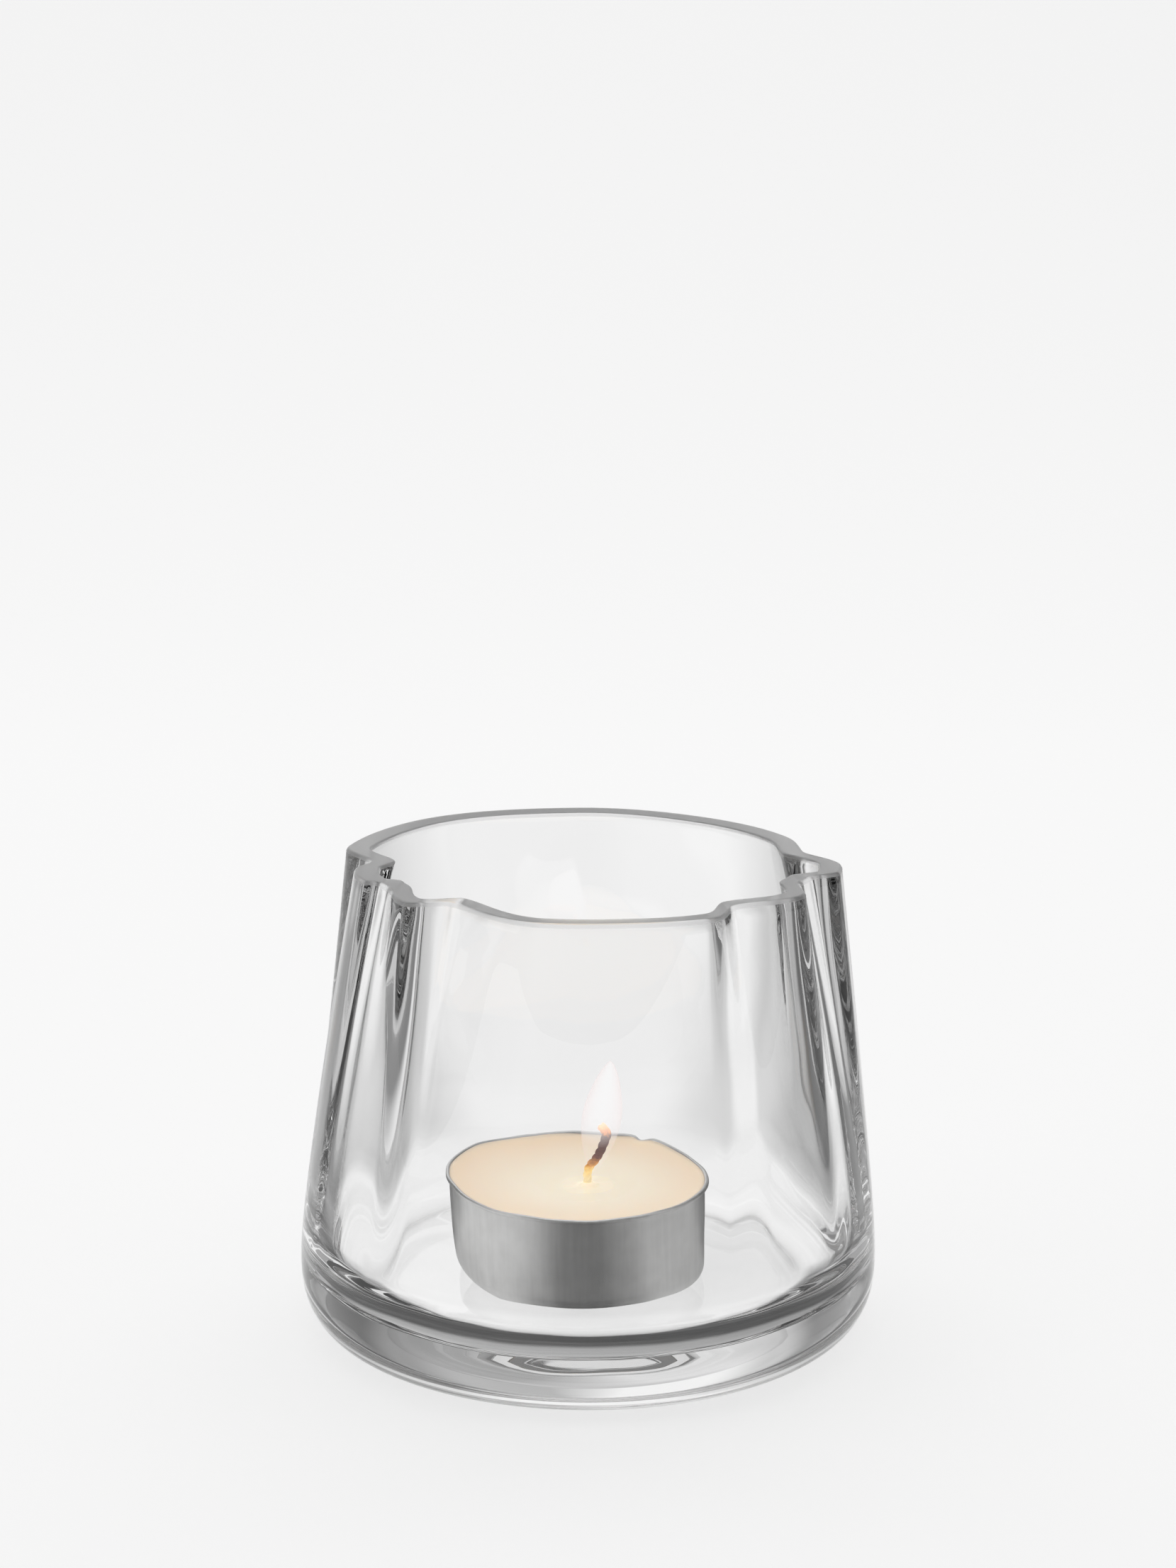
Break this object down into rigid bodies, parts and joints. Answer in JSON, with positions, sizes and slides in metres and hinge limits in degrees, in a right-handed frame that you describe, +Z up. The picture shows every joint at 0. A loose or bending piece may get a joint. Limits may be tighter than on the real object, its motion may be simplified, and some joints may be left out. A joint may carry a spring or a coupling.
{
  "type": "tealight holder",
  "caption": "Heavy-based clear glass tumbler with a folded wavy rim, holding a tealight candle that lifts out.",
  "frame": {"origin": "middle of the foot, on the surface that the holder stands on", "axes": "+Z up, along the tumbler's axis; +X to the right and -Y towards the viewer, with the rim's pointed tip on +X"},
  "size_m": [0.0859, 0.086, 0.0698],
  "materials": {
    "clear_glass": "clear, fire-polished blown glass with a ground and polished flat rim",
    "rolled_aluminium": "thin drawn sheet, satin",
    "paraffin_wax": "poured paraffin wax, softly glossy and slightly see-through",
    "tinned_steel": "tinned pressed sheet",
    "charred_cotton": "braided cotton, waxed at the foot and charred above"
  },
  "bodies": {
    "holder": {"glass_holder": "clear_glass"},
    "tealight": {"tealight_cup": "rolled_aluminium"},
    "candle": {"wax_puck": "paraffin_wax", "wick_sustainer": "tinned_steel", "wick": "charred_cotton"}
  },
  "joints": [
    {"name": "tealight_lift", "type": "slide", "parent": "holder", "child": "tealight", "axis": [0, 0, 1], "range_m": [0, 0.075]},
    {"name": "candle_lift", "type": "slide", "parent": "tealight", "child": "candle", "axis": [0, 0, 1], "range_m": [0, 0.02]}
  ]
}
